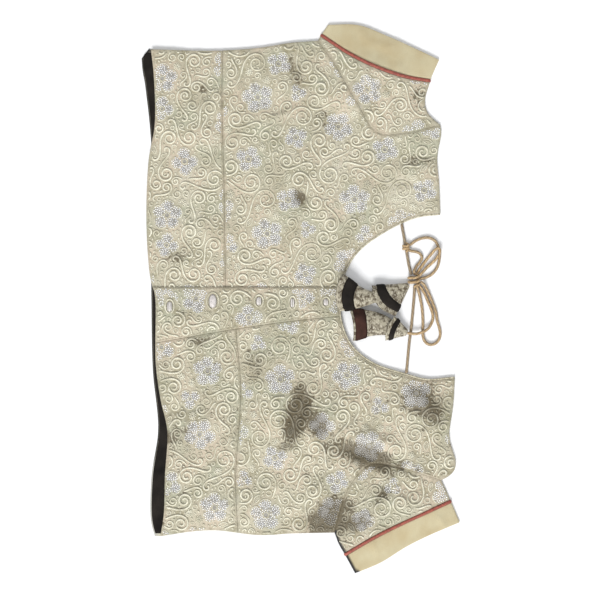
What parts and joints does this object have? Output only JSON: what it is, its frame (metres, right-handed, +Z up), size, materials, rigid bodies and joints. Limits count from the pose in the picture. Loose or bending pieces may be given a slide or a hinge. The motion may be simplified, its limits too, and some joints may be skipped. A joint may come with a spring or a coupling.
{
  "type": "choli blouse",
  "caption": "Short-sleeved choli blouse of embroidered brocade laid flat, front up, with hook strip, waist bands, banded sleeves and a back neck cord tied in a bow.",
  "frame": {"origin": "on the surface that the blouse lies on, under the middle of its outline without the dori and its tassels", "axes": "+Y from the hem to the neck, +X across to the wearer's left, +Z up off the surface, front side up"},
  "size_m": [0.6033, 0.3496, 0.0204],
  "materials": {
    "brocade": "greige satin brocade with cream cord scrolls and silver-grey flowers",
    "dark_lining": "dark brown-black lining cloth",
    "tan_cotton": "plain tan cotton silk",
    "red_piping": "brick red corded piping",
    "cream_piping": "thin cream piping",
    "dori_cord": "twisted tan-gold silk cord",
    "hook_steel": "plain steel hooks"
  },
  "bodies": {
    "root": {"back_panel": "brocade", "back_hem_facing": "dark_lining", "front_right": "brocade", "front_left": "brocade", "waist_band_right": "brocade", "waist_band_left": "brocade", "hook_placket": "brocade", "hook_1": "hook_steel", "hook_2": "hook_steel", "hook_3": "hook_steel", "hook_4": "hook_steel", "hook_5": "hook_steel", "sleeve_right": "brocade", "sleeve_left": "brocade", "sleeve_piping_right": "red_piping", "sleeve_piping_left": "red_piping", "sleeve_band_right": "tan_cotton", "sleeve_band_left": "tan_cotton", "neck_piping_right": "cream_piping", "neck_piping_left": "cream_piping", "dori_right_neck": "dori_cord", "dori_right_run": "dori_cord", "dori_left_neck": "dori_cord", "dori_outer_loop": "dori_cord", "dori_inner_loop": "dori_cord", "dori_bow_loop": "dori_cord", "dori_long_loop": "dori_cord", "dori_latkan_run": "dori_cord", "dori_knot_side": "dori_cord", "dori_knot_bow": "dori_cord", "latkan_right_upper": "brocade", "latkan_right_lower": "brocade", "latkan_left_upper": "brocade", "latkan_left_lower": "brocade", "latkan_right_upper_band": "dark_lining", "latkan_right_lower_band": "dark_lining", "latkan_left_upper_band": "dark_lining", "latkan_left_lower_band": "dark_lining"}
  },
  "joints": []
}
